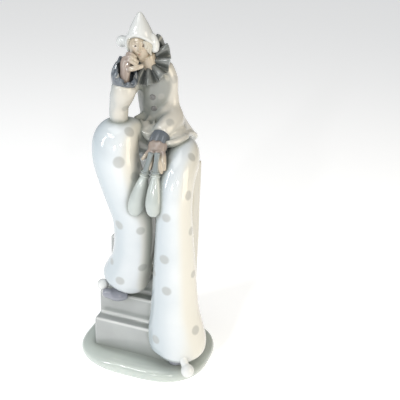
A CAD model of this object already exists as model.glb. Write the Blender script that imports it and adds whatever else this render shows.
import math

import bpy
import numpy as np
from mathutils import Matrix, Vector, noise
from mathutils.bvhtree import BVHTree


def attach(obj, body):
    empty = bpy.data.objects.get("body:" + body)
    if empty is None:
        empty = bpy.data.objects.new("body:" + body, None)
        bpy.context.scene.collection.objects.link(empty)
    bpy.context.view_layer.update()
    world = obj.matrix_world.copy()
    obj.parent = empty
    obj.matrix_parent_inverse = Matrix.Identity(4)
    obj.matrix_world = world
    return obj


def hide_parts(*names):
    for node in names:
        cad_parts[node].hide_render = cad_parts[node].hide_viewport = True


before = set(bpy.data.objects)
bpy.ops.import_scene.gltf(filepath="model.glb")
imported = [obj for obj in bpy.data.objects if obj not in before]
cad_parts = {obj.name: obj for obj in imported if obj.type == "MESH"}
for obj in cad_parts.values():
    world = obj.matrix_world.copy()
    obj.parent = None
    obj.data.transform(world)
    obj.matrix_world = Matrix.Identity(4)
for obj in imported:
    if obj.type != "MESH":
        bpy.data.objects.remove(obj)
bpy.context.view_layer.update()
mm = 0.001  # the sizes below are in millimetres, in the frame of the solids


# camera


cameraSetup = {
    "location": (256.4, -608.1, 476.4),
    "azimuth": 18.4,
    "elevation": 23.9,
    "roll": 2.5,
    "focalPixels": 700.0,
    "imagePixels": 400.0,
    "sensor": 36.0,
}


def cameraAxes():
    turn = math.radians(cameraSetup["azimuth"])
    rise = math.radians(cameraSetup["elevation"])
    roll = math.radians(cameraSetup["roll"])
    back = Vector((math.sin(turn) * math.cos(rise), -math.cos(turn) * math.cos(rise), math.sin(rise)))
    level = Vector((math.cos(turn), math.sin(turn), 0))
    upright = back.cross(level)
    right = math.cos(roll) * level + math.sin(roll) * upright
    up = -math.sin(roll) * level + math.cos(roll) * upright
    return right, up, back


def addCamera():
    right, up, back = cameraAxes()
    data = bpy.data.cameras.new("photoCamera")
    data.sensor_width = cameraSetup["sensor"]
    data.lens = cameraSetup["focalPixels"] / cameraSetup["imagePixels"] * cameraSetup["sensor"]
    data.clip_start = 0.01
    camera = bpy.data.objects.new("photoCamera", data)
    place = Matrix((right, up, back)).transposed().to_4x4()
    place.translation = Vector(cameraSetup["location"]) * mm
    camera.matrix_world = place
    bpy.context.scene.collection.objects.link(camera)
    bpy.context.scene.camera = camera


def sightLine(pixel):
    right, up, back = cameraAxes()
    middle = cameraSetup["imagePixels"] / 2
    across = (pixel[0] - middle) / cameraSetup["focalPixels"]
    rise = (middle - pixel[1]) / cameraSetup["focalPixels"]
    return Vector(cameraSetup["location"]) * mm, (right * across + up * rise - back).normalized()


addCamera()
print("camera placed")


# modelling helpers


def clearSelection():
    if bpy.context.object and bpy.context.object.mode != "OBJECT":
        bpy.ops.object.mode_set(mode="OBJECT")
    bpy.ops.object.select_all(action="DESELECT")


def choose(*objects):
    clearSelection()
    for item in objects:
        item.select_set(True)
    bpy.context.view_layer.objects.active = objects[0]


def applyModifier(obj, kind, **settings):
    choose(obj)
    modifier = obj.modifiers.new(kind.lower(), kind)
    for key, value in settings.items():
        setattr(modifier, key, value)
    bpy.ops.object.modifier_apply(modifier=modifier.name)


def mend(obj):
    choose(obj)
    bpy.ops.object.mode_set(mode="EDIT")
    bpy.ops.mesh.select_all(action="SELECT")
    bpy.ops.mesh.remove_doubles(threshold=1e-6)
    bpy.ops.mesh.normals_make_consistent(inside=False)
    bpy.ops.object.mode_set(mode="OBJECT")


def joinPieces(name, pieces):
    choose(*pieces)
    bpy.ops.object.join()
    obj = bpy.context.object
    obj.name = name
    return obj


def fuse(name, pieces, voxel, smoothing):  # one skin over all the pieces, with soft joins as under a glaze
    obj = joinPieces(name, pieces)
    applyModifier(obj, "REMESH", mode="VOXEL", voxel_size=voxel * mm, use_smooth_shade=True)
    applyModifier(obj, "SMOOTH", factor=0.5, iterations=smoothing)
    return obj


def smoothValue(rows, share):  # a smooth value between the rows of a list, at a share of its length
    position = min(max(share, 0), 1) * (len(rows) - 1)
    index = min(int(position), len(rows) - 2)
    t = position - index
    before = rows[max(index - 1, 0)]
    a, b = rows[index], rows[index + 1]
    after = rows[min(index + 2, len(rows) - 1)]
    mixed = []
    for p, q, r, s in zip(before, a, b, after):
        mixed.append(0.5 * (2 * q + (r - p) * t + (2 * p - 5 * q + 4 * r - s) * t ** 2
                            + (3 * q - p - 3 * r + s) * t ** 3))
    return mixed


def blankTube(name, sides, rings, closed=True):  # a unit tube, whose height counts its rings
    clearSelection()
    bpy.ops.mesh.primitive_circle_add(vertices=sides, radius=1, fill_type="NGON" if closed else "NOTHING")
    obj = bpy.context.object
    obj.name = name
    bpy.ops.object.mode_set(mode="EDIT")
    bpy.ops.mesh.select_all(action="SELECT")
    for _ in range(rings):
        bpy.ops.mesh.extrude_region_move(TRANSFORM_OT_translate={"value": (0, 0, 1)})
    bpy.ops.object.mode_set(mode="OBJECT")
    return obj


def reshape(obj, place):  # place(angle, ring) gives each point of a blank tube in millimetres
    for vertex in obj.data.vertices:
        angle = math.atan2(vertex.co.y, vertex.co.x) % math.tau
        vertex.co = Vector(place(angle, round(vertex.co.z))) * mm
    mend(obj)
    return obj


def squared(value, power):
    return math.copysign(abs(value) ** power, value)


def limb(name, stations, sides=32, rings=40, domes=(4, 4), relief=None, power=1):
    # stations are (x, y, z, half width, half depth) from end to end, and both ends are rounded off
    stations = [tuple(row) + (row[3],) if len(row) == 4 else tuple(row) for row in stations]
    domeRings = 7

    def centreLine(share):
        centre = Vector(smoothValue(stations, share)[:3])
        ahead = Vector(smoothValue(stations, min(share + 0.01, 1))[:3])
        behind = Vector(smoothValue(stations, max(share - 0.01, 0))[:3])
        return centre, (ahead - behind).normalized()

    def place(angle, ring):
        step = ring - domeRings
        share = min(max(step / rings, 0), 1)
        centre, ahead = centreLine(share)
        shrink = 1
        if step < 0 or step > rings:
            turn = (-step if step < 0 else step - rings) / domeRings * math.radians(88)
            shrink = math.cos(turn)
            length = -domes[0] if step < 0 else domes[1]
            centre = centre + ahead * length * math.sin(turn)
        across = (Vector((1, 0, 0)) - ahead * ahead.x).normalized()
        through = ahead.cross(across)
        width, depth = smoothValue(stations, share)[3:5]
        swell = 1 + (relief(angle, share) if relief else 0)
        wide, deep = squared(math.cos(angle), power) * width, squared(math.sin(angle), power) * depth
        return centre + (across * wide + through * deep) * shrink * swell

    return reshape(blankTube(name, sides, rings + 2 * domeRings), place)


def ball(name, centre, radius, squash=(1, 1, 1)):
    clearSelection()
    bpy.ops.mesh.primitive_ico_sphere_add(subdivisions=4, radius=radius * mm)
    obj = bpy.context.object
    obj.name = name
    obj.scale = squash
    obj.location = Vector(centre) * mm
    bpy.ops.object.transform_apply(location=True, rotation=True, scale=True)
    return obj


def bump(value, centre, width):
    return math.exp(-((value - centre) / width) ** 2)


def softStep(value):
    value = min(max(value, 0), 1)
    return value * value * (3 - 2 * value)


def setAttribute(obj, name, values):
    attribute = obj.data.attributes.get(name) or obj.data.attributes.new(name, "FLOAT", "POINT")
    attribute.data.foreach_set("value", values)


def turned(points, direction, place):  # points made round +Z, turned to a direction and put in place
    turn = Vector((0, 0, 1)).rotation_difference(Vector(direction))
    return lambda *args: turn @ Vector(points(*args)) + Vector(place)


# base and steps


baseSizes = {"halfWidth": 72.5, "halfDepth": 58, "height": 13, "squareness": 2.7}


def makeBase():
    profile = [(0, 0.955), (0.6, 0.975), (2.5, 0.992), (6, 1.0), (9.2, 0.98), (11.4, 0.935), (12.6, 0.87),
               (13, 0.8), (13.1, 0.7), (13.1, 0.4)]
    rings = 54

    def place(angle, ring):
        z, share = smoothValue(profile, ring / rings)
        power = 2 / baseSizes["squareness"]
        x = squared(math.cos(angle), power) * baseSizes["halfWidth"]
        y = squared(math.sin(angle), power) * baseSizes["halfDepth"]
        wobble = 1 + 0.006 * noise.noise(Vector((x, y, 0)) * 0.03)
        return x * share * wobble, y * share * wobble, max(z, 0)

    return reshape(blankTube("base", 160, rings), place)


stepSizes = {
    "left": -50.0,
    "right": 39.0,
    "front": -33.0,
    "back": 48.0,
    "tread": 13.6,
    "firstRise": 34.0,
    "rise": 27.0,
    "lowSteps": 4,
    "seat": 217.0,
    "round": 2.4,
}


def makeSteps():
    s = stepSizes
    clearSelection()
    low = baseSizes["height"] - 4
    size = ((s["right"] - s["left"]), (s["back"] - s["front"]), baseSizes["height"] + s["firstRise"] - low)
    centre = ((s["right"] + s["left"]) / 2, (s["back"] + s["front"]) / 2, low + size[2] / 2)
    bpy.ops.mesh.primitive_cube_add(size=1, location=Vector(centre) * mm)
    obj = bpy.context.object
    obj.name = "steps"
    obj.scale = Vector(size) * mm
    bpy.ops.object.transform_apply(location=True, rotation=True, scale=True)
    front, top = s["front"], baseSizes["height"] + s["firstRise"]
    bpy.ops.object.mode_set(mode="EDIT")
    for step in range(s["lowSteps"]):  # cut the tread off the top face, then raise what is behind it
        front += s["tread"]
        bpy.ops.mesh.select_all(action="SELECT")
        bpy.ops.mesh.bisect(plane_co=(0, front * mm, 0), plane_no=(0, 1, 0))
        bpy.ops.object.mode_set(mode="OBJECT")
        for item in (*obj.data.vertices, *obj.data.edges, *obj.data.polygons):
            item.select = False
        for face in obj.data.polygons:
            face.select = abs(face.center.z - top * mm) < 1e-5 and face.center.y > front * mm
        bpy.ops.object.mode_set(mode="EDIT")
        rise = s["rise"] if step + 1 < s["lowSteps"] else s["seat"] - top
        bpy.ops.mesh.extrude_region_move(TRANSFORM_OT_translate={"value": (0, 0, rise * mm)})
        top += rise
    bpy.ops.object.mode_set(mode="OBJECT")
    mend(obj)
    choose(obj)
    bpy.ops.object.mode_set(mode="EDIT")
    bpy.ops.mesh.select_all(action="SELECT")
    bpy.ops.mesh.dissolve_limited(angle_limit=math.radians(2))
    bpy.ops.object.mode_set(mode="OBJECT")
    sharp = math.radians(30)
    applyModifier(obj, "BEVEL", width=s["round"] * mm, segments=5, limit_method="ANGLE", angle_limit=sharp)
    applyModifier(obj, "REMESH", mode="VOXEL", voxel_size=1.6 * mm, use_smooth_shade=True)
    applyModifier(obj, "SMOOTH", factor=0.5, iterations=3)
    noise.seed_set(1)  # the same drift in every run
    for vertex in obj.data.vertices:  # the casting isn't dead straight
        drift = noise.noise_vector(vertex.co / mm * 0.02) * 0.5 * mm
        vertex.co += Vector((drift.x, drift.y, 0))
    return obj


base = makeBase()
steps = makeSteps()
print("base and steps made")


# trousers


trouserSizes = {
    "right": [
        (-21, -16, 90.5, 20.5, 17.5),
        (-19.8, -16.5, 94.5, 24, 20),
        (-18, -17, 100.5, 25.4, 21.6),
        (-14.5, -18.5, 110, 24, 21.3),
        (-9.5, -21, 124, 21.9, 20.6),
        (-4.8, -25, 147, 21.4, 20.5),
        (-3.8, -30, 176, 21.5, 20),
        (-8.7, -34, 198, 21.7, 20),
        (-15.2, -37.2, 221, 21.9, 20),
        (-19.8, -38.3, 240, 22.2, 20),
        (-21.3, -34, 255, 22.2, 18.5),
        (-19.5, -21, 258.5, 20.2, 16.5),
        (-10, -3, 250, 18, 16.5),
        (2, 16, 240, 20, 20),
    ],
    "left": [
        (43.5, -26, 27, 25.5, 22.5),
        (43.8, -26, 32, 29.5, 26.5),
        (44, -26, 41, 31, 28),
        (42.5, -27, 57, 29.5, 26),
        (41, -28, 82, 25.3, 23),
        (41.2, -33, 130, 21.5, 20),
        (41.3, -37.5, 178, 18.2, 17.8),
        (41, -38, 205, 17.4, 17.6),
        (40.6, -31, 225, 17.2, 17),
        (39.6, -17, 236.5, 17, 16.6),
        (34.5, -2, 241, 16.8, 16.3),
        (22, 16, 236, 19, 19),
    ],
    "voxel": 1.3,
}


def cloth(folds):  # soft lengthways folds: (angle, share, half angle, half share, depth)
    def relief(angle, share):
        total = 0
        for at, along, wide, long, depth in folds:
            turn = (angle - at + math.pi) % math.tau - math.pi
            total += depth * math.exp(-(turn / wide) ** 2 - ((share - along) / long) ** 2)
        return total

    return relief


def makeTrousers():
    rightFolds = cloth([
        (4.1, 0.2, 0.35, 0.16, -0.045),
        (5.3, 0.12, 0.3, 0.12, -0.05),
        (4.7, 0.42, 0.4, 0.12, 0.04),
        (5.6, 0.6, 0.4, 0.1, -0.04),
        (4.9, 0.3, 0.25, 0.14, -0.04),
    ])
    leftFolds = cloth([
        (4.3, 0.1, 0.3, 0.14, -0.05),
        (5.4, 0.14, 0.35, 0.12, -0.045),
        (4.8, 0.4, 0.5, 0.1, 0.03),
        (5.9, 0.3, 0.3, 0.2, -0.035),
        (4.2, 0.45, 0.3, 0.25, 0.05),
    ])
    parts = [
        limb("rightLeg", trouserSizes["right"], sides=56, rings=90, domes=(5, 10), relief=rightFolds,
             power=0.87),
        limb("leftLeg", trouserSizes["left"], sides=56, rings=90, domes=(6, 10), relief=leftFolds),
        ball("hips", (11, 17, 234), 21, (1.25, 1, 0.95)),
    ]
    return fuse("trousers", parts, trouserSizes["voxel"], 6)


trousers = makeTrousers()
print("trousers made")


# tunic with its sleeves and flared skirt


tunicSizes = {
    "torso": [
        (12, 16, 232, 24, 22),
        (9, 15, 246, 20, 18),
        (3, 13, 260, 16, 14),
        (-1, 9, 276, 14.3, 12.3),
        (0.5, 4, 294, 16.3, 12.3),
        (3, 1, 309, 17.3, 11.3),
        (2, -2, 317, 13, 10),
        (0, -5, 323, 8, 8),
    ],
    "rightUpperArm": [
        (-9, -2, 314, 8.5),
        (-15.5, -12, 303, 7.8),
        (-20.5, -22, 291, 7.4),
        (-21.5, -28, 278, 7.2),
    ],
    "rightForearm": [
        (-21, -27, 269.5, 8.2),
        (-20, -31, 279.5, 9.1),
        (-18.7, -32.5, 289, 9.4),
        (-15.4, -34, 299, 11.5),
        (-13.8, -33.5, 305.5, 12),
        (-13.5, -33, 308.5, 11.2),
    ],
    "leftArm": [
        (12.5, 3, 320, 8.5),
        (16.5, 6, 310, 7.8),
        (16, 9, 296, 8),
        (16.8, 9, 282, 9.3),
        (21.5, 3, 271.5, 11.4),
        (21, -7, 267, 11.2),
        (19.2, -14.5, 264, 10.2),
        (18.5, -18.5, 262, 9),
    ],
    "waist": (2, 9, 277),
    "waistRadius": 13,
    "waistLift": 14,
    "waistWiden": 5,
    "hem": [
        (36, 12, 259),
        (34.5, 36, 248),
        (10, 44.5, 233),
        (-16, 32, 247),
        (-19, 9, 265),
        (-12.5, -6, 271.5),
        (-3, -16, 267),
        (6.5, -22, 260),
        (28, -23, 257),
        (38, -11, 259),
    ],
    "hemThickness": 6.0,
    "hemOverhang": 0.75,
    "closedShare": 0.85,
    "foldLift": 0.7,
    "foldGain": 1.6,
    "flareFront": 1.9,
    "flareSide": 0.9,
    "foldPlaces": [  # heading, half width, height
        (-2.3, 0.14, 1.8),
        (-1.95, 0.13, -2.0),
        (-1.62, 0.14, 2.2),
        (-1.2, 0.2, -1.6),
        (-0.75, 0.2, 0.7),
        (0.9, 0.25, -1.5),
        (1.5, 0.3, 1.6),
        (2.2, 0.3, -1.6),
        (2.8, 0.25, 1.4),
    ],
    "lapFolds": [  # the cloth in the lap, the roll along the hem on the thigh, and a hanging loop
        [(0, -11, 268, 4.4), (2.8, -15.5, 263.5, 4.6), (4.5, -13, 266, 4.2)],
        [(16, -27, 257.2, 2), (24, -26.6, 256.4, 2.7), (31.5, -23, 256.8, 3), (37.5, -13.5, 258, 3.2),
         (39.4, -5, 258.6, 3)],
        [(-5.5, -11.5, 271, 1.5), (-2.5, -16, 267, 2.2), (1.5, -20, 262.6, 2.6), (6.4, -22, 260.4, 2.8),
         (9.4, -18.5, 262.4, 2.3), (8.2, -13, 267, 1.9), (7.2, -9.5, 272, 1.3)],
    ],
    "voxel": 1.0,
}


def closedValue(rows, share):
    count = len(rows)
    wrapped = [rows[(i - 1) % count] for i in range(count + 3)]
    return smoothValue(wrapped, (share * count + 1) / (count + 2))


def makeSkirt():
    t = tunicSizes
    waist = Vector(t["waist"])
    overRings, edgeRings, underRings = 36, 8, 10

    def fall(angle, share):
        edge = Vector(closedValue(t["hem"], angle / math.tau))
        heading = math.atan2(edge.y - waist.y, edge.x - waist.x)
        outward = Vector((math.cos(heading), math.sin(heading), 0))
        sideways = max(0, math.cos(heading)) ** 2
        flare = t["flareFront"] + (t["flareSide"] - t["flareFront"]) * sideways
        top = waist + outward * (t["waistRadius"] + t["waistWiden"] * sideways)
        top.z += t["waistLift"] * sideways
        point = top.lerp(edge, share ** flare)
        point.z = top.z + (edge.z - top.z) * share
        folds = sum(depth * bump(heading, at, wide) for at, wide, depth in t["foldPlaces"])
        away = outward + Vector((0, 0, t["foldLift"]))
        return point + away * folds * softStep(share * t["foldGain"]), outward

    def place(angle, ring):
        point, outward = fall(angle, min(ring / overRings, 1))
        if ring <= overRings:
            return point
        if ring <= overRings + edgeRings:  # the hem is a thick rounded roll
            turn = (ring - overRings) / edgeRings * math.pi
            half = t["hemThickness"] / 2
            point += outward * half * t["hemOverhang"] * math.sin(turn)
            return point - Vector((0, 0, half * (1 - math.cos(turn))))
        inward = (ring - overRings - edgeRings) / underRings * t["closedShare"]  # flat underneath, on the lap
        edge = fall(angle, 1)[0] - Vector((0, 0, t["hemThickness"]))
        return edge.lerp(Vector((waist.x, waist.y, edge.z)), inward)

    return reshape(blankTube("skirt", 180, overRings + edgeRings + underRings), place)


def makeTunic():
    t = tunicSizes
    chestFolds = cloth([
        (4.0, 0.45, 0.3, 0.1, -0.05),
        (5.3, 0.35, 0.3, 0.08, 0.05),
        (4.6, 0.33, 0.2, 0.07, -0.05),
    ])
    sleeveFolds = cloth([
        (4.4, 0.45, 0.3, 0.12, -0.08),
        (5.4, 0.6, 0.3, 0.12, 0.08),
        (3.6, 0.7, 0.3, 0.1, -0.08),
        (0.6, 0.5, 0.4, 0.1, -0.06),
    ])
    parts = [
        limb("torso", t["torso"], sides=48, rings=60, domes=(8, 3), relief=chestFolds),
        limb("rightUpperArm", t["rightUpperArm"], sides=36, rings=30, domes=(7, 6)),
        limb("rightForearm", t["rightForearm"], sides=36, rings=36, domes=(6, 2), relief=sleeveFolds),
        limb("leftArm", t["leftArm"], sides=36, rings=60, domes=(6, 2), relief=sleeveFolds),
        makeSkirt(),
    ]
    parts += [limb("fold", row, sides=14, rings=40, domes=(2, 2)) for row in t["lapFolds"]]
    return fuse("tunic", parts, t["voxel"], 5)


tunic = makeTunic()
print("tunic made")


# ruff and cuffs


frillSizes = {
    "ruff": {
        "pleats": 10, "inner": 6.5, "outer": 22.4, "belly": 0.5, "wave": 5.2, "flute": 1.9, "drop": -4,
        "oval": (0.94, 1.06), "thickness": 2.7, "round": 1.0, "sides": 280, "rings": 18,
        "direction": (-0.04, -0.85, 0.53), "place": (-0.6, -8, 328.8),
    },
    "rightCuff": {
        "pleats": 9, "inner": 10, "outer": 8.6, "belly": 2.2, "wave": 0.9, "flute": 0.8,
        "oval": (1, 1), "thickness": 1.8, "round": 0.6, "sides": 144, "rings": 18,
        "direction": (0.12, 0.14, 1), "place": (-14, -33, 309.5),
    },
    "leftCuff": {
        "pleats": 8, "inner": 7.6, "outer": 8.6, "belly": 0.6, "wave": 0.7, "flute": 0.6,
        "oval": (1, 1), "thickness": 1.8, "round": 0.6, "sides": 128, "rings": 14,
        "direction": (0.02, -0.76, -0.65), "place": (18.6, -18, 261.3),
    },
}


def makeFrill(name, height):
    f = frillSizes[name]

    def flat(angle, ring):
        share = ring / f["rings"]
        fullness = share ** 0.8
        folded = math.cos(f["pleats"] * angle) + 0.15 * math.cos(2 * f["pleats"] * angle)
        gather = 0.35 / f["pleats"] * math.sin(2 * f["pleats"] * angle) * fullness  # the pleats lean over
        radius = f["inner"] + (f["outer"] - f["inner"]) * share + f["flute"] * fullness * folded
        radius += f["belly"] * math.sin(math.pi * share)
        z = height(angle, share) + f["wave"] * fullness * folded
        wide, high = f["oval"]
        return math.cos(angle + gather) * radius * wide, math.sin(angle + gather) * radius * high, z

    obj = blankTube(name, f["sides"], f["rings"], closed=False)
    rims, crests = [], []
    for vertex in obj.data.vertices:
        angle = math.atan2(vertex.co.y, vertex.co.x)
        rims.append(vertex.co.z / f["rings"])
        crests.append(0.5 + 0.5 * math.cos(f["pleats"] * angle))
    setAttribute(obj, "rim", rims)
    setAttribute(obj, "crest", crests)
    reshape(obj, turned(flat, f["direction"], f["place"]))
    applyModifier(obj, "SOLIDIFY", thickness=f["thickness"] * mm, offset=0, use_even_offset=False)
    sharp = math.radians(60)
    applyModifier(obj, "BEVEL", width=f["round"] * mm, segments=3, limit_method="ANGLE", angle_limit=sharp)
    applyModifier(obj, "SUBSURF", levels=1, render_levels=1)
    return obj


ruff = makeFrill("ruff", lambda angle, share: frillSizes["ruff"]["drop"] * share * share)
rightCuff = makeFrill("rightCuff", lambda angle, share: share * (13.5 - 10.5 * math.cos(angle + 0.8)))
leftCuff = makeFrill("leftCuff", lambda angle, share: share * 11.5)
print("ruff and cuffs made")


# head, hat and pompoms


headSizes = {
    "centre": (-5.8, -14, 342.3),
    "half": (10.4, 12.3, 14.6),
    "turn": 20.0,
    "tilt": -2.0,
    "nod": -9.0,
    "cuts": 63,
}


def makeHead():
    h = headSizes
    clearSelection()
    bpy.ops.mesh.primitive_cube_add(size=2)
    obj = bpy.context.object
    obj.name = "head"
    bpy.ops.object.mode_set(mode="EDIT")
    bpy.ops.mesh.select_all(action="SELECT")
    bpy.ops.mesh.subdivide(number_cuts=h["cuts"])
    bpy.ops.object.mode_set(mode="OBJECT")
    place = (Matrix.Translation(Vector(h["centre"]))
             @ Matrix.Rotation(math.radians(h["turn"]), 4, "Z")
             @ Matrix.Rotation(math.radians(h["tilt"]), 4, "Y")
             @ Matrix.Rotation(math.radians(h["nod"]), 4, "X"))
    ink, blush = [], []
    for vertex in obj.data.vertices:
        p = vertex.co.normalized()
        x, z, side = p.x, p.z, abs(p.x)
        front = softStep(-p.y * 2.2)
        jaw = 1 - 0.27 * max(-z, 0) ** 1.6
        relief = (
            0.5 * bump(side, 0.32, 0.2) * bump(z, 0.27, 0.07)
            - 1.7 * bump(side, 0.36, 0.2) * bump(z, 0.07, 0.13)
            + 1.2 * bump(side, 0.36, 0.13) * bump(z, 0.06, 0.085)
            - 0.35 * bump(side, 0.36, 0.16) * bump(z, 0.155, 0.018)
            - 0.25 * bump(side, 0.36, 0.12) * bump(z, 0.25 * (side - 0.36) ** 2, 0.012)
            + 1.7 * bump(x, 0, 0.075) * bump(z, 0.02, 0.2)
            + 2.6 * bump(x, 0, 0.095) * bump(z, -0.2, 0.09)
            + 1.0 * bump(side, 0.115, 0.05) * bump(z, -0.235, 0.05)
            - 0.8 * bump(x, 0, 0.13) * bump(z, -0.32, 0.035)
            + 0.9 * bump(x, 0, 0.19) * bump(z, -0.425, 0.035)
            - 0.8 * bump(x, 0, 0.2) * bump(z, -0.475 + 0.2 * x * x, 0.016)
            + 0.9 * bump(x, 0, 0.15) * bump(z, -0.525, 0.04)
            - 0.5 * bump(x, 0, 0.18) * bump(z, -0.61, 0.04)
            + 1.1 * bump(x, 0, 0.2) * bump(z, -0.78, 0.13)
            + 0.7 * bump(side, 0.44, 0.2) * bump(z, -0.22, 0.18)
        )
        local = Vector((x * h["half"][0] * jaw, p.y * h["half"][1], z * h["half"][2]))
        local += Vector((x * 0.3, -1, 0)) * relief * front
        vertex.co = (place @ local) * mm
        lash = bump(z, 0.012 + 0.9 * (side - 0.36) ** 2, 0.022) * softStep((0.15 - abs(side - 0.36)) * 12)
        brow = bump(z, 0.285 - 0.9 * (side - 0.36) ** 2, 0.022) * softStep((0.17 - abs(side - 0.36)) * 10)
        pupil = bump(side, 0.345, 0.05) * bump(z, 0.05, 0.045)
        socket = 0.22 * bump(side, 0.34, 0.14) * bump(z, 0.12, 0.1)
        ink.append(front * min(1, lash + 0.75 * pupil + 0.65 * brow + socket))
        lips = bump(z, -0.478, 0.055) * softStep((0.2 - side) * 9)
        cheeks = 0.35 * bump(side, 0.46, 0.17) * bump(z, -0.2, 0.14)
        blush.append(front * min(1, 0.8 * lips + cheeks))
    setAttribute(obj, "ink", ink)
    setAttribute(obj, "blush", blush)
    bpy.ops.object.shade_smooth()
    return obj


def makeNeck():
    stations = [(2, -4, 316, 8.4, 8), (1, -7, 324, 7.8, 7.6), (-1.2, -10, 333, 8, 7.6)]
    return limb("neck", stations, sides=32, rings=16)


hatSizes = {
    "brim": (-5.4, -10.5, 348),
    "top": (-7.5, -11.5, 373),
    "radius": 14.6,
    "slope": 7,
    "dip": 4,
    "profile": [  # height, share of the radius
        (-0.13, 0.9), (-0.1, 0.99), (-0.05, 1.035), (0.0, 1.04), (0.05, 0.995), (0.16, 0.93), (0.3, 0.845),
        (0.45, 0.72), (0.6, 0.575), (0.74, 0.42), (0.86, 0.285), (0.94, 0.185), (0.985, 0.09), (1.0, 0.01),
    ],
    "pompom": ((-26.3, -9.5, 343.8), 5.7),
    "rolls": [
        [(-24, -9.5, 344, 5.2), (-18, -10, 345, 5.4), (-12, -10, 345, 5.2)],
        [(5, -12.5, 352, 4), (8.2, -13, 345.5, 4.4), (8.4, -13.5, 341, 4)],
        [(-16.5, -12.5, 351, 3.6), (-17.4, -14, 345, 3.8), (-16.6, -15, 339.5, 3)],
    ],
}
hairSizes = {
    "locks": [
        [(1.6, -22, 348, 1.5), (3.4, -21.4, 345.6, 1.6), (2.6, -21.6, 343.2, 1.3), (3.9, -21, 341.5, 0.9)],
        [(3.4, -20.6, 348, 1.6), (5, -19.4, 344.5, 1.7), (4.2, -19.6, 341, 1.4), (5.2, -18.6, 338.6, 0.9)],
        [(4.6, -18.6, 347.5, 1.7), (6.2, -17.4, 343, 1.8), (5.4, -17.2, 339, 1.5), (6.1, -16.4, 336.4, 0.9)],
        [(-13.2, -21.5, 348.5, 1.4), (-14.8, -20.2, 345.5, 1.5), (-14.6, -19.6, 342, 1.2),
         (-15.2, -18.8, 339.5, 0.8)],
        [(-14.6, -19.4, 348.5, 1.5), (-16.2, -17.6, 344, 1.6), (-15.8, -17, 340, 1.3),
         (-16, -16.2, 337, 0.9)],
    ],
}


def makeHat():
    h = hatSizes
    rings = 70
    bottom, top = Vector(h["brim"]), Vector(h["top"])

    def place(angle, ring):
        height, share = smoothValue(h["profile"], ring / rings)
        centre = bottom.lerp(top, height)
        turn = (angle - 3.5 + math.pi) % math.tau - math.pi
        crease = 1 - 0.1 * math.exp(-(turn / 0.28) ** 2) * softStep(height * 2) * softStep((1 - height) * 3)
        radius = h["radius"] * share * crease
        slope = (h["slope"] * math.sin(angle) + h["dip"] * math.cos(angle) ** 2) * (1 - max(0, height))
        return (centre.x + math.cos(angle) * radius, centre.y + math.sin(angle) * radius,
                centre.z - slope)

    parts = [reshape(blankTube("cone", 96, rings), place)]
    parts.append(ball("pompom", *h["pompom"]))
    parts += [limb("roll", row, sides=28, rings=16, domes=(3, 3.5)) for row in h["rolls"]]
    return fuse("hat", parts, 0.5, 6)


def makeHair():
    parts = [limb("lock", row, sides=16, rings=24, domes=(1.5, 1.2)) for row in hairSizes["locks"]]
    obj = fuse("hair", parts, 0.35, 2)
    for vertex in obj.data.vertices:  # fine strands combed down the locks
        point = vertex.co / mm
        strand = math.sin(point.x * 7 + 1.6 * math.sin(point.z * 0.5)) * 0.16
        vertex.co += vertex.normal * strand * mm
    return obj


head = joinPieces("head", [makeHead(), makeNeck()])
hat = makeHat()
hair = makeHair()
print("head and hat made")


# hands and clubs


rightHandSizes = {
    "wrist": [
        (-13.9, -33, 303, 5.2),
        (-13.8, -33, 309, 5.1),
        (-13.3, -32.8, 315.5, 4.9),
        (-12.6, -32, 321.5, 4.9, 4.6),
        (-12.6, -30, 328, 5.8, 4.8),
        (-12.8, -27.5, 332, 5.2, 4.5),
    ],
    "fingers": [
        [(-13.2, -26.5, 333.6, 2.2), (-9.5, -31, 335.4, 2.4), (-5.2, -31.2, 334.2, 2.2),
         (-2.6, -28.5, 331, 1.9)],
        [(-13, -28.5, 331.4, 2.3), (-9, -32.6, 332.6, 2.4), (-5, -32.6, 331.4, 2.2),
         (-2.6, -30, 328.6, 1.9)],
        [(-14.2, -24.5, 334.2, 2.1), (-11.5, -27.5, 337, 2.2), (-8, -28.5, 337, 2.1),
         (-5, -27.5, 335, 1.8)],
    ],
    "thumb": [
        (-11.6, -31.5, 321.5, 2.9),
        (-8, -33.3, 324.5, 2.6),
        (-3, -32.6, 325.8, 2.4),
        (2, -28, 327.2, 2),
    ],
}

leftHandSizes = {
    "back": [(18.2, -19, 259.5, 7, 5.5), (18.4, -24, 256.5, 8.8, 6.4), (19.6, -29.5, 253.3, 9.4, 6.6),
             (20.4, -33.5, 250.6, 8.4, 5.8)],
    "fingers": [
        [(14.5, -32, 251.5, 2.6), (13.5, -37.5, 249, 2.4), (12, -41, 246.5, 2.1), (10.4, -42.5, 244.2, 1.7)],
        [(16.5, -34, 250.5, 2.9), (17.8, -39.5, 246.5, 2.7), (18.4, -42.8, 241, 2.4), (18, -44.5, 236, 2)],
        [(21.3, -34.5, 250.3, 3), (24.6, -40, 246, 2.9), (27.6, -43.4, 240.5, 2.6), (29.8, -45, 234.6, 2)],
        [(25.3, -32, 250.5, 2.9), (28.6, -37.5, 247, 2.8), (31, -41.4, 242.5, 2.4), (32.2, -43, 237.5, 1.9)],
    ],
}


def makeRightHand():
    h = rightHandSizes
    parts = [limb("wrist", h["wrist"], sides=28, rings=30, domes=(2, 3))]
    parts += [limb("finger", row, sides=18, rings=18, domes=(2, 2)) for row in h["fingers"]]
    parts.append(limb("thumb", h["thumb"], sides=18, rings=18, domes=(2, 2)))
    return fuse("rightHand", parts, 0.4, 3)


def makeLeftHand():
    h = leftHandSizes
    parts = [limb("back", h["back"], sides=32, rings=24, domes=(2, 4))]
    parts += [limb("finger", row, sides=18, rings=20, domes=(2, 2.2)) for row in h["fingers"]]
    return fuse("leftHand", parts, 0.4, 3)


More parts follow.
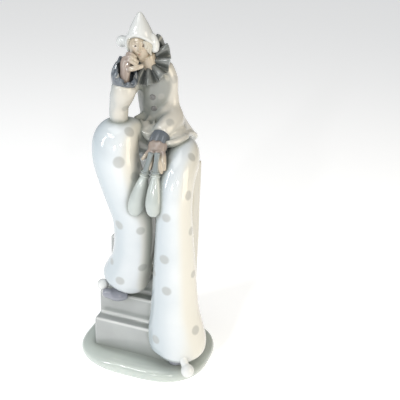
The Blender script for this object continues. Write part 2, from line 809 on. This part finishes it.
clubSizes = {
    "profile": [  # radius, distance from the grip's end
        (0.1, 0), (2.4, 0.3), (2.9, 1.6), (2.7, 4), (2.9, 10), (3.3, 16), (3.5, 18.3), (4.7, 19.2),
        (4.8, 20), (3.9, 21), (4.0, 21.8), (5.0, 22.6), (5.0, 23.6), (4.3, 24.8), (5.4, 29), (6.9, 35),
        (8.0, 42), (8.6, 48), (8.3, 53), (7.2, 58), (5.0, 61.8), (2.5, 63.6), (0.1, 64),
    ],
    "left": ((18.6, -42.5, 251.5), (4.6, -52, 188)),
    "right": ((24.2, -41.5, 252), (26.4, -54.5, 191.6)),
}


def makeClub(name):
    grip, end = (Vector(point) for point in clubSizes[name])
    profile = clubSizes["profile"]
    rings = 110
    total = profile[-1][1]

    def flat(angle, ring):
        radius, run = smoothValue(profile, ring / rings)
        radius = max(radius, 0.05)
        return math.cos(angle) * radius, math.sin(angle) * radius, run / total * (end - grip).length

    obj = blankTube(name + "Club", 40, rings)
    setAttribute(obj, "grip", [softStep((0.46 - vertex.co.z / rings) * 9) for vertex in obj.data.vertices])
    return reshape(obj, turned(flat, (end - grip).normalized(), grip))


rightHand = makeRightHand()
leftHand = makeLeftHand()
clubs = joinPieces("clubs", [makeClub("left"), makeClub("right")])
print("hands and clubs made")


# shoes and their pompoms, and the tunic's buttons


shoeSizes = {
    "right": [(-18, -21, 79, 9, 6), (-24, -24, 78.5, 10.5, 6.8), (-31, -27.5, 78.2, 9.5, 6),
              (-37, -30, 79.5, 6.5, 5)],
    "left": [(44, -28, 18.5, 11, 7), (45.5, -31, 18, 10, 6.5), (47, -34, 17.5, 8, 5.5)],
    "pompoms": [((-42.5, -26, 86.5), 6.1), ((65.5, -51, 22.5), 6.9)],
    "stalk": ((62, -48, 25), (58, -45, 33), 4.2),
}


def makeShoes():
    rows = [shoeSizes["right"], shoeSizes["left"]]
    parts = [limb("shoe", row, sides=32, rings=24, domes=(3, 4)) for row in rows]
    return fuse("shoes", parts, 0.8, 4)


def makeShoePompoms():
    parts = [ball("pompom", centre, radius) for centre, radius in shoeSizes["pompoms"]]
    start, end, radius = shoeSizes["stalk"]
    parts.append(limb("stalk", [start + (radius,), end + (radius,)], sides=24, rings=8))
    return fuse("shoePompoms", parts, 0.6, 4)


buttonSizes = {"pixels": [(152.8, 97.3), (154.1, 108.5)], "radius": 3.0, "ring": 0.7}


def surfaceFinder(obj):
    tree = BVHTree.FromObject(obj, bpy.context.evaluated_depsgraph_get())

    def find(pixel):
        start, direction = sightLine(pixel)
        place, normal, _, _ = tree.ray_cast(start, direction)
        return place, normal

    return find


def makeButtons():
    find = surfaceFinder(tunic)
    rings = []
    for pixel in buttonSizes["pixels"]:
        place, normal = find(pixel)
        clearSelection()
        turn = Vector((0, 0, 1)).rotation_difference(normal).to_euler()
        ring = buttonSizes["ring"] * mm
        radius = buttonSizes["radius"] * mm - ring
        bpy.ops.mesh.primitive_torus_add(location=place, rotation=turn, major_radius=radius,
                                         minor_radius=ring, major_segments=40, minor_segments=14)
        rings.append(bpy.context.object)
        bpy.ops.mesh.primitive_uv_sphere_add(location=place, rotation=turn, radius=radius, segments=32,
                                             ring_count=16)
        bpy.context.object.scale = (1, 1, 0.3)
        rings.append(bpy.context.object)
    obj = joinPieces("buttons", rings)
    bpy.ops.object.transform_apply(location=True, rotation=True, scale=True)
    return obj


shoes = makeShoes()
shoePompoms = makeShoePompoms()
buttons = makeButtons()
print("shoes and buttons made")


# painted dots


dotSizes = {
    "soft": 3.0,
    "trouserPixels": [  # column and row in the camera's picture, then the radius
        (129.6, 131.7, 5.2), (118.8, 162.5, 5.6), (134.5, 176.5, 4.4), (138.6, 165.3, 3), (118.8, 225, 5),
        (140.7, 231, 4.4), (142.9, 267.6, 5), (119.9, 280.8, 5), (111.9, 261.3, 3.6), (192, 157, 4.4),
        (188.5, 195.5, 4.6), (191.2, 231, 4.4), (166, 218, 4.4), (168, 161.6, 3.8), (164.1, 259.6, 5),
        (166.4, 291.2, 5), (154.4, 272.8, 3.6), (155.5, 339.4, 5), (195.7, 330.2, 5), (193.4, 274, 4),
    ],
    "tunicPixels": [
        (170.2, 122.3, 4.2), (185.4, 125, 4), (174.6, 79.5, 4), (161.3, 96.4, 3.4), (140.7, 92.9, 3.2),
        (145.2, 108.9, 3.2), (126, 108, 4),
    ],
    "hiddenTrouser": [  # place and radius, on the sides that the camera misses
        (62, 8, 42, 5), (30, 4, 60, 5), (55, -10, 96, 5), (38, -6, 128, 5), (56, -22, 160, 4.5),
        (-40, -12, 118, 5), (-14, 6, 96, 5), (-30, -22, 172, 5), (-36, -14, 224, 5), (-14, 4, 200, 5),
    ],
    "hiddenTunic": [
        (6, 24, 292, 4), (-9, 20, 279, 3.6), (22, 20, 286, 3.8), (16, 42, 246, 4.4), (-4, 38, 249, 4.4),
        (33, 34, 253, 4.4), (12, 16, 306, 3.6), (-26, -36, 300, 3.4),
    ],
}


def paintDots(obj, pixels, hidden):
    find = surfaceFinder(obj)
    tree = BVHTree.FromObject(obj, bpy.context.evaluated_depsgraph_get())
    dots = []
    for x, y, radius in pixels:
        place, _ = find((x, y))
        if place:
            dots.append((place, radius * mm))
    for x, y, z, radius in hidden:
        place, _, _, _ = tree.find_nearest(Vector((x, y, z)) * mm)
        dots.append((place, radius * mm))
    soft = dotSizes["soft"] * mm
    values = []
    for vertex in obj.data.vertices:
        inside = max(radius - (vertex.co - place).length for place, radius in dots)
        values.append(softStep(inside / soft + 0.5))
    setAttribute(obj, "dots", values)


chestSizes = {"proud": 3, "soft": 5, "low": 262, "rise": 12, "steps": 60}


def paintChest():  # the front of the jacket is a darker grey than its sleeves
    c = chestSizes
    rows = [Vector(smoothValue(tunicSizes["torso"], step / c["steps"])) for step in range(c["steps"] + 1)]
    values = []
    for vertex in tunic.data.vertices:
        point = vertex.co / mm
        gap = min((point - Vector(row[:3])).length - row[3] for row in rows)
        values.append(softStep((c["proud"] - gap) / c["soft"]) * softStep((point.z - c["low"]) / c["rise"]))
    setAttribute(tunic, "chest", values)


def paintFades():  # paint that comes in along a measure: piece, attribute, measure, start, full
    side = stepSizes["right"]
    fades = [
        (steps, "side", lambda vertex: vertex.co.x / mm, side - 2.2, side - 1.0),
        (steps, "edge", lambda vertex: vertex.normal.y * vertex.normal.z, -0.109, -0.422),
        (trousers, "lee", lambda vertex: vertex.normal.x, 0.6, -0.733),
        (trousers, "warm", lambda vertex: vertex.normal.x, 0.281, 0.906),
        (tunic, "lee", lambda vertex: vertex.normal.x, 0.278, -0.833),
        (rightHand, "tips", lambda vertex: vertex.co.x / mm, -10, -4),
        (leftHand, "tips", lambda vertex: vertex.co.z / mm, 251, 247),
    ]
    for piece, name, measure, start, full in fades:
        values = [softStep((measure(vertex) - start) / (full - start)) for vertex in piece.data.vertices]
        setAttribute(piece, name, values)


poolSizes = {"rays": 10, "reach": 26, "blurs": 5}


def paintPools(pieces):  # the glaze runs darker where other surfaces crowd in
    count, reach = poolSizes["rays"], poolSizes["reach"] * mm
    corners, faces = [], []
    for piece in pieces:
        start = len(corners)
        corners += [vertex.co.copy() for vertex in piece.data.vertices]
        faces += [[start + index for index in face.vertices] for face in piece.data.polygons]
    tree = BVHTree.FromPolygons(corners, faces)
    golden = math.pi * (3 - math.sqrt(5))
    fan = []
    for step in range(count):
        lift = 1 - 0.85 * (step + 0.5) / count
        fan.append(Vector((math.cos(golden * step), math.sin(golden * step), 0)) * math.sqrt(1 - lift * lift)
                   + Vector((0, 0, lift)))
    for piece in pieces:
        shade = np.zeros(len(piece.data.vertices))
        for vertex in piece.data.vertices:
            turn = Vector((0, 0, 1)).rotation_difference(vertex.normal)
            start = vertex.co + vertex.normal * 0.4 * mm
            for ray in fan:
                gap = tree.ray_cast(start, turn @ ray, reach)[3]
                if gap is not None:
                    shade[vertex.index] += (1 - gap / reach) / count
        ends = np.zeros(len(piece.data.edges) * 2, dtype=int)
        piece.data.edges.foreach_get("vertices", ends)
        ends = ends.reshape(-1, 2)
        for _ in range(poolSizes["blurs"]):
            total, links = shade.copy(), np.ones(len(shade))
            for a, b in ((0, 1), (1, 0)):
                np.add.at(total, ends[:, a], shade[ends[:, b]])
                np.add.at(links, ends[:, a], 1)
            shade = total / links
        setAttribute(piece, "pool", shade)


paintPools([trousers, tunic, steps, base, hat, head, clubs, leftHand, rightHand, shoes])
paintChest()
paintFades()
paintDots(trousers, dotSizes["trouserPixels"], dotSizes["hiddenTrouser"])
paintDots(tunic, dotSizes["tunicPixels"], dotSizes["hiddenTunic"])
print("dots painted")


# glazes


def addGroupSocket(group, name, direction, kind, default=None):
    socket = group.interface.new_socket(name=name, in_out=direction, socket_type=kind)
    if default is not None:
        socket.default_value = default


def makeGlazeGroup():  # pooled, faintly cloudy glaze with a slow ripple
    group = bpy.data.node_groups.new("firedGlaze", "ShaderNodeTree")
    addGroupSocket(group, "Colour", "INPUT", "NodeSocketColor", (0.8, 0.8, 0.8, 1))
    addGroupSocket(group, "Cloud Colour", "INPUT", "NodeSocketColor", (0.7, 0.7, 0.7, 1))
    addGroupSocket(group, "Cloud", "INPUT", "NodeSocketFloat", 0.3)
    addGroupSocket(group, "Gloss", "INPUT", "NodeSocketFloat", 0.12)
    addGroupSocket(group, "Ripple", "INPUT", "NodeSocketFloat", 0.1)
    addGroupSocket(group, "Colour", "OUTPUT", "NodeSocketColor")
    addGroupSocket(group, "Roughness", "OUTPUT", "NodeSocketFloat")
    addGroupSocket(group, "Normal", "OUTPUT", "NodeSocketVector")
    nodes, links = group.nodes, group.links
    entry, leave = nodes.new("NodeGroupInput"), nodes.new("NodeGroupOutput")
    place = nodes.new("ShaderNodeTexCoord")
    cloud = nodes.new("ShaderNodeTexNoise")
    cloud.inputs["Scale"].default_value = 22
    cloud.inputs["Detail"].default_value = 3
    links.new(place.outputs["Object"], cloud.inputs["Vector"])
    spread = nodes.new("ShaderNodeMapRange")
    spread.inputs["From Min"].default_value = 0.38
    spread.inputs["From Max"].default_value = 0.68
    links.new(cloud.outputs["Fac"], spread.inputs["Value"])
    amount = nodes.new("ShaderNodeMath")
    amount.operation = "MULTIPLY"
    links.new(spread.outputs["Result"], amount.inputs[0])
    links.new(entry.outputs["Cloud"], amount.inputs[1])
    mix = nodes.new("ShaderNodeMix")
    mix.data_type = "RGBA"
    links.new(amount.outputs[0], mix.inputs["Factor"])
    links.new(entry.outputs["Colour"], mix.inputs["A"])
    links.new(entry.outputs["Cloud Colour"], mix.inputs["B"])
    links.new(mix.outputs["Result"], leave.inputs["Colour"])
    haze = nodes.new("ShaderNodeTexNoise")
    haze.inputs["Scale"].default_value = 60
    links.new(place.outputs["Object"], haze.inputs["Vector"])
    rough = nodes.new("ShaderNodeMath")
    rough.operation = "MULTIPLY_ADD"
    rough.inputs[1].default_value = 0.08
    links.new(haze.outputs["Fac"], rough.inputs[0])
    links.new(entry.outputs["Gloss"], rough.inputs[2])
    links.new(rough.outputs[0], leave.inputs["Roughness"])
    ripple = nodes.new("ShaderNodeTexNoise")
    ripple.inputs["Scale"].default_value = 90
    ripple.inputs["Detail"].default_value = 2
    links.new(place.outputs["Object"], ripple.inputs["Vector"])
    relief = nodes.new("ShaderNodeBump")
    relief.inputs["Distance"].default_value = 0.0006
    links.new(entry.outputs["Ripple"], relief.inputs["Strength"])
    links.new(ripple.outputs["Fac"], relief.inputs["Height"])
    links.new(relief.outputs["Normal"], leave.inputs["Normal"])
    return group


glazeGroup = makeGlazeGroup()


def glaze(name, colour, cloudColour, cloud=0.4, gloss=0.08, ripple=0.12, paint=()):
    # paint is a list of (attribute, colour, strength, low, high), laid over the glaze's colour
    material = bpy.data.materials.new(name)
    material.use_nodes = True
    nodes, links = material.node_tree.nodes, material.node_tree.links
    shader = nodes["Principled BSDF"]
    shader.inputs["IOR"].default_value = 1.52
    shader.inputs["Coat Weight"].default_value = 0.5
    shader.inputs["Coat Roughness"].default_value = 0.04
    body = nodes.new("ShaderNodeGroup")
    body.node_tree = glazeGroup
    body.inputs["Cloud Colour"].default_value = (*cloudColour, 1)
    body.inputs["Cloud"].default_value = cloud
    body.inputs["Gloss"].default_value = gloss
    body.inputs["Ripple"].default_value = ripple
    body.inputs["Colour"].default_value = (*colour, 1)
    last = body.outputs["Colour"]
    for attribute, tint, strength, low, high in paint:
        reader = nodes.new("ShaderNodeAttribute")
        reader.attribute_name = attribute
        ramp = nodes.new("ShaderNodeMapRange")
        ramp.interpolation_type = "SMOOTHSTEP"
        ramp.inputs["From Min"].default_value = low
        ramp.inputs["From Max"].default_value = high
        ramp.inputs["To Max"].default_value = strength
        links.new(reader.outputs["Fac"], ramp.inputs["Value"])
        mix = nodes.new("ShaderNodeMix")
        mix.data_type = "RGBA"
        links.new(ramp.outputs["Result"], mix.inputs["Factor"])
        links.new(last, mix.inputs["A"])
        mix.inputs["B"].default_value = (*tint, 1)
        last = mix.outputs["Result"]
    links.new(last, shader.inputs["Base Color"])
    links.new(body.outputs["Roughness"], shader.inputs["Roughness"])
    links.new(body.outputs["Normal"], shader.inputs["Normal"])
    return material


dotPaint = ("dots", (0.33, 0.33, 0.31), 0.6, 0.0, 1.0)
pool = ("pool", (0.27, 0.29, 0.265), 0.85, 0.0, 0.42)
glazes = {
    "white": glaze("whiteGlaze", (0.66, 0.69, 0.71), (0.5, 0.55, 0.585), 
                   paint=[("lee", (0.44, 0.5, 0.535), 0.85, 0.0, 1.0),
                          ("warm", (0.68, 0.64, 0.54), 0.7, 0.0, 1.0), dotPaint, pool]),
    "tunic": glaze("tunicGlaze", (0.57, 0.545, 0.49), (0.46, 0.45, 0.415),
                   paint=[("lee", (0.34, 0.375, 0.385), 0.75, 0.0, 1.0),
                          ("chest", (0.22, 0.235, 0.225), 0.92, 0.0, 1.0), dotPaint, pool]),
    "hat": glaze("hatGlaze", (0.6, 0.61, 0.6), (0.55, 0.57, 0.57), paint=[pool]),
    "hair": glaze("hairGlaze", (0.5, 0.47, 0.4), (0.4, 0.39, 0.34)),
    "ruff": glaze("ruffGlaze", (0.09, 0.098, 0.093), (0.16, 0.17, 0.165), ripple=0.35,
                  paint=[("rim", (0.22, 0.23, 0.22), 0.6, 0.92, 1.0),
                         ("crest", (0.24, 0.25, 0.24), 0.5, 0.7, 1.0)]),
    "cuff": glaze("cuffGlaze", (0.085, 0.1, 0.12), (0.16, 0.18, 0.2), ripple=0.35,
                  paint=[("rim", (0.16, 0.18, 0.2), 0.4, 0.94, 1.0),
                         ("crest", (0.15, 0.17, 0.2), 0.4, 0.6, 1.0)]),
    "skin": glaze("skinGlaze", (0.47, 0.4, 0.31), (0.4, 0.36, 0.28),
                  paint=[("blush", (0.44, 0.2, 0.15), 0.65, 0.0, 1.0),
                         ("ink", (0.05, 0.035, 0.03), 0.92, 0.05, 0.75),
                         ("pool", (0.26, 0.19, 0.1), 0.7, 0.15, 0.8)]),
    "hand": glaze("handGlaze", (0.33, 0.27, 0.235), (0.27, 0.23, 0.21),
                  paint=[("tips", (0.45, 0.39, 0.31), 1.0, 0, 1),
                         ("pool", (0.15, 0.11, 0.08), 0.7, 0.2, 0.85)]),
    "button": glaze("buttonGlaze", (0.17, 0.17, 0.17), (0.13, 0.13, 0.13)),
    "step": glaze("stepGlaze", (0.4, 0.415, 0.41), (0.31, 0.325, 0.32), cloud=0.6,
                  paint=[("side", (0.55, 0.52, 0.43), 1.0, 0.0, 1.0), pool,
                         ("edge", (0.72, 0.73, 0.71), 0.7, 0.0, 1.0)]),
    "base": glaze("baseGlaze", (0.53, 0.58, 0.54), (0.42, 0.46, 0.44), cloud=0.6, paint=[pool]),
    "club": glaze("clubGlaze", (0.48, 0.52, 0.5), (0.36, 0.4, 0.39),
                  paint=[("grip", (0.18, 0.21, 0.22), 0.9, 0, 1), pool]),
    "shoe": glaze("shoeGlaze", (0.27, 0.28, 0.32), (0.2, 0.21, 0.25)),
    "pompom": glaze("pompomGlaze", (0.72, 0.73, 0.72), (0.6, 0.62, 0.62)),
}

finishes = [
    (trousers, "white"), (tunic, "tunic"), (hat, "hat"), (ruff, "ruff"), (rightCuff, "cuff"),
    (leftCuff, "cuff"), (head, "skin"), (rightHand, "hand"), (leftHand, "hand"), (clubs, "club"),
    (shoes, "shoe"), (shoePompoms, "pompom"), (buttons, "button"), (steps, "step"), (base, "base"),
    (hair, "hair"),
]
for piece, finish in finishes:
    piece.data.materials.clear()
    piece.data.materials.append(glazes[finish])
    choose(piece)
    bpy.ops.object.shade_smooth()
    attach(piece, "root")
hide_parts("juggler_figurine")
print("glazes laid on", len(finishes), "pieces")


# floor and lights


studio = {
    "floorSize": 60.0,
    "floorColour": (0.86, 0.86, 0.86),
    "floorGlow": 0.6,
    "worldColour": (0.93, 0.97, 1.0),
    "worldStrength": 0.22,
    "lights": [  # name, place, aim, size, watts, colour
        ("keyLeft", (-0.9, -1.0, 0.9), (0, 0, 0.2), (0.1, 0.8), 5, (0.93, 0.97, 1.0)),
        ("fillRight", (1.3, -0.2, 0.55), (0, 0, 0.18), (0.7, 1.1), 8.5, (1.0, 0.89, 0.7)),
        ("frontSoft", (-0.3, -1.7, 0.5), (0, 0, 0.2), (0.9, 0.9), 1.6, (0.92, 0.97, 1.0)),
        ("top", (-0.2, -0.2, 1.5), (0, 0, 0.2), (0.8, 0.8), 4, (1.0, 1.0, 1.0)),
        ("sparkLeft", (0.0, -1.3, 0.7), (0, 0, 0.2), (0.05, 0.12), 4, (1.0, 1.0, 1.0)),
        ("edgeTop", (-0.42, -0.78, 1.2), (0, 0, 0.1), (0.36, 0.06), 3.2, (1.0, 1.0, 1.0)),
        ("sparkRight", (0.7, -1.1, 0.9), (0, 0, 0.2), (0.06, 0.1), 3.2, (1.0, 0.97, 0.92)),
    ],
}


def makeStudio():
    clearSelection()
    bpy.ops.mesh.primitive_plane_add(size=studio["floorSize"])
    floor = bpy.context.object
    floor.name = "floor"
    paper = bpy.data.materials.new("palePaper")
    paper.use_nodes = True
    shader = paper.node_tree.nodes["Principled BSDF"]
    shader.inputs["Base Color"].default_value = (*studio["floorColour"], 1)
    shader.inputs["Roughness"].default_value = 0.9
    shader.inputs["Emission Color"].default_value = (*studio["floorColour"], 1)
    shader.inputs["Emission Strength"].default_value = studio["floorGlow"]
    floor.data.materials.append(paper)
    world = bpy.data.worlds.new("studio")
    world.use_nodes = True
    background = world.node_tree.nodes["Background"]
    background.inputs["Color"].default_value = (*studio["worldColour"], 1)
    background.inputs["Strength"].default_value = studio["worldStrength"]
    bpy.context.scene.world = world
    for name, place, aim, size, watts, colour in studio["lights"]:
        data = bpy.data.lights.new(name, "AREA")
        data.shape = "RECTANGLE"
        data.size, data.size_y = size
        data.energy = watts
        data.color = colour
        lamp = bpy.data.objects.new(name, data)
        lamp.location = place
        lamp.rotation_euler = (Vector(aim) - Vector(place)).to_track_quat("-Z", "Y").to_euler()
        bpy.context.scene.collection.objects.link(lamp)


makeStudio()
bpy.context.scene.view_settings.view_transform = "Standard"
print("floor and lights made")
